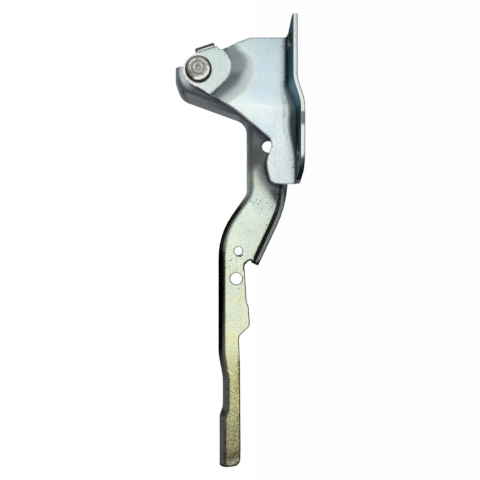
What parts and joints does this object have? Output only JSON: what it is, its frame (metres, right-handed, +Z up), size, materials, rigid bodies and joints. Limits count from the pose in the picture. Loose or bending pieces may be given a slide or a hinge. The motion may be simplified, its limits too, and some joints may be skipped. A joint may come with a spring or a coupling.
{
  "type": "hood hinge",
  "caption": "Stamped zinc-plated hood hinge: flanged body bracket and long gooseneck arm on a shouldered rivet, with stop tab, bolt holes and slots.",
  "frame": {"origin": "on the outer face of the bracket's flange, which bolts to the body side, straight below the pivot axis and level with the bolt holes' centre line", "axes": "+X rearwards in the car, +Z up, +Y away from the side that the rivet head is on; the pivot axis runs along Y through X = 0, Z = 0.0746"},
  "size_m": [0.3512, 0.0692, 0.1011],
  "materials": {
    "bracket_zinc": "clear zinc plating, satin, slightly mottled",
    "arm_zinc": "zinc plating with pale yellow patches, satin",
    "rivet_steel": "turned steel, fine rings",
    "dark_ring": "black phosphate, dull",
    "bush_bronze": "sintered bronze, dull",
    "washer_zinc": "zinc plating, satin"
  },
  "bodies": {
    "bracket": {"body_bracket": "bracket_zinc", "pivot_rivet": "rivet_steel", "head_washer": "dark_ring", "rear_washer": "washer_zinc"},
    "arm": {"hood_arm": "arm_zinc", "pivot_bush": "bush_bronze"}
  },
  "joints": [
    {"name": "hood_swing", "type": "hinge", "parent": "bracket", "child": "arm", "pos_m": [0, 0.019, 0.07462], "axis": [0, 1, 0], "range_deg": [0, 62]}
  ]
}
